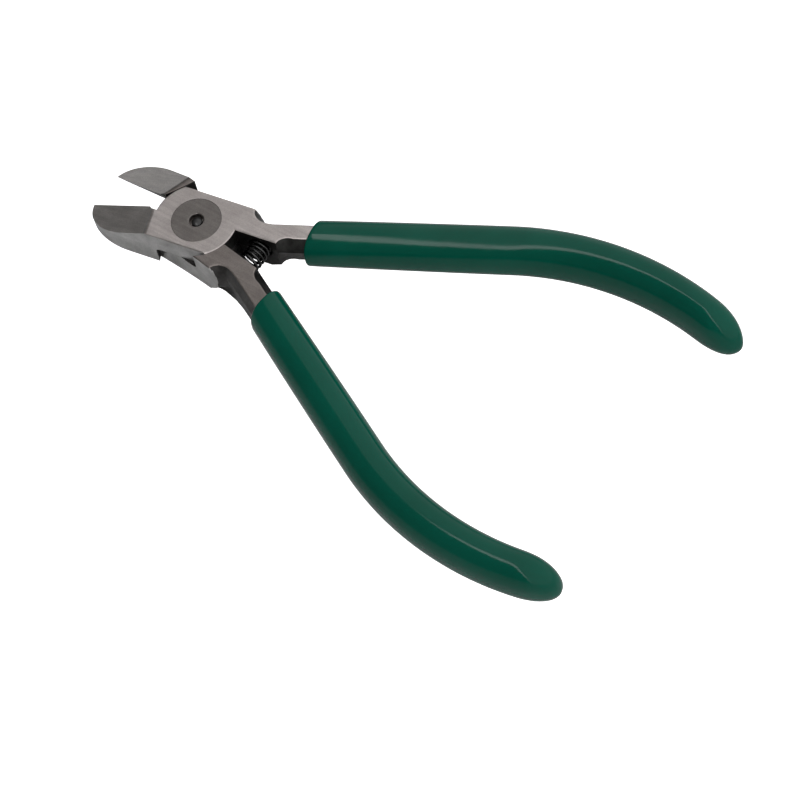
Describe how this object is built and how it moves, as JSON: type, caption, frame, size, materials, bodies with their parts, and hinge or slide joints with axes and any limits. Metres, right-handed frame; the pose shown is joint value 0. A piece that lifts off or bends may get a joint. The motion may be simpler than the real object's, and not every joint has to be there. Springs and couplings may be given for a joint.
{
  "type": "flush cut pliers",
  "caption": "Small diagonal flush cut pliers with a lap joint, a return spring between the levers and dipped vinyl grips.",
  "frame": {"origin": "where the pivot axis meets the rear face of the head, on the rivet pin's flat head", "axes": "+X along the tool's middle line from the jaws to the handles, +Z along the pivot axis from the rear face to the front face, +Y towards the front lever's handle"},
  "size_m": [0.1294, 0.0726, 0.0111],
  "materials": {
    "ground_steel": "ground",
    "rivet_steel": "ground flush, darker than the levers",
    "black_steel": "black oxide",
    "green_vinyl": "glossy dipped vinyl"
  },
  "bodies": {
    "rear_lever_body": {"rear_lever": "ground_steel", "rear_grip": "green_vinyl", "pivot_rivet": "rivet_steel", "rivet_pin": "black_steel", "return_spring": "black_steel"},
    "front_lever_body": {"front_lever": "ground_steel", "front_grip": "green_vinyl"}
  },
  "joints": [
    {"name": "pivot", "type": "hinge", "parent": "rear_lever_body", "child": "front_lever_body", "pos_m": [0, 0, 0], "axis": [0, 0, -1], "range_deg": [0, 17.8], "stiffness_Nm_per_rad": 0.6, "springref_deg": -8.59, "deforming": ["return_spring"]}
  ]
}
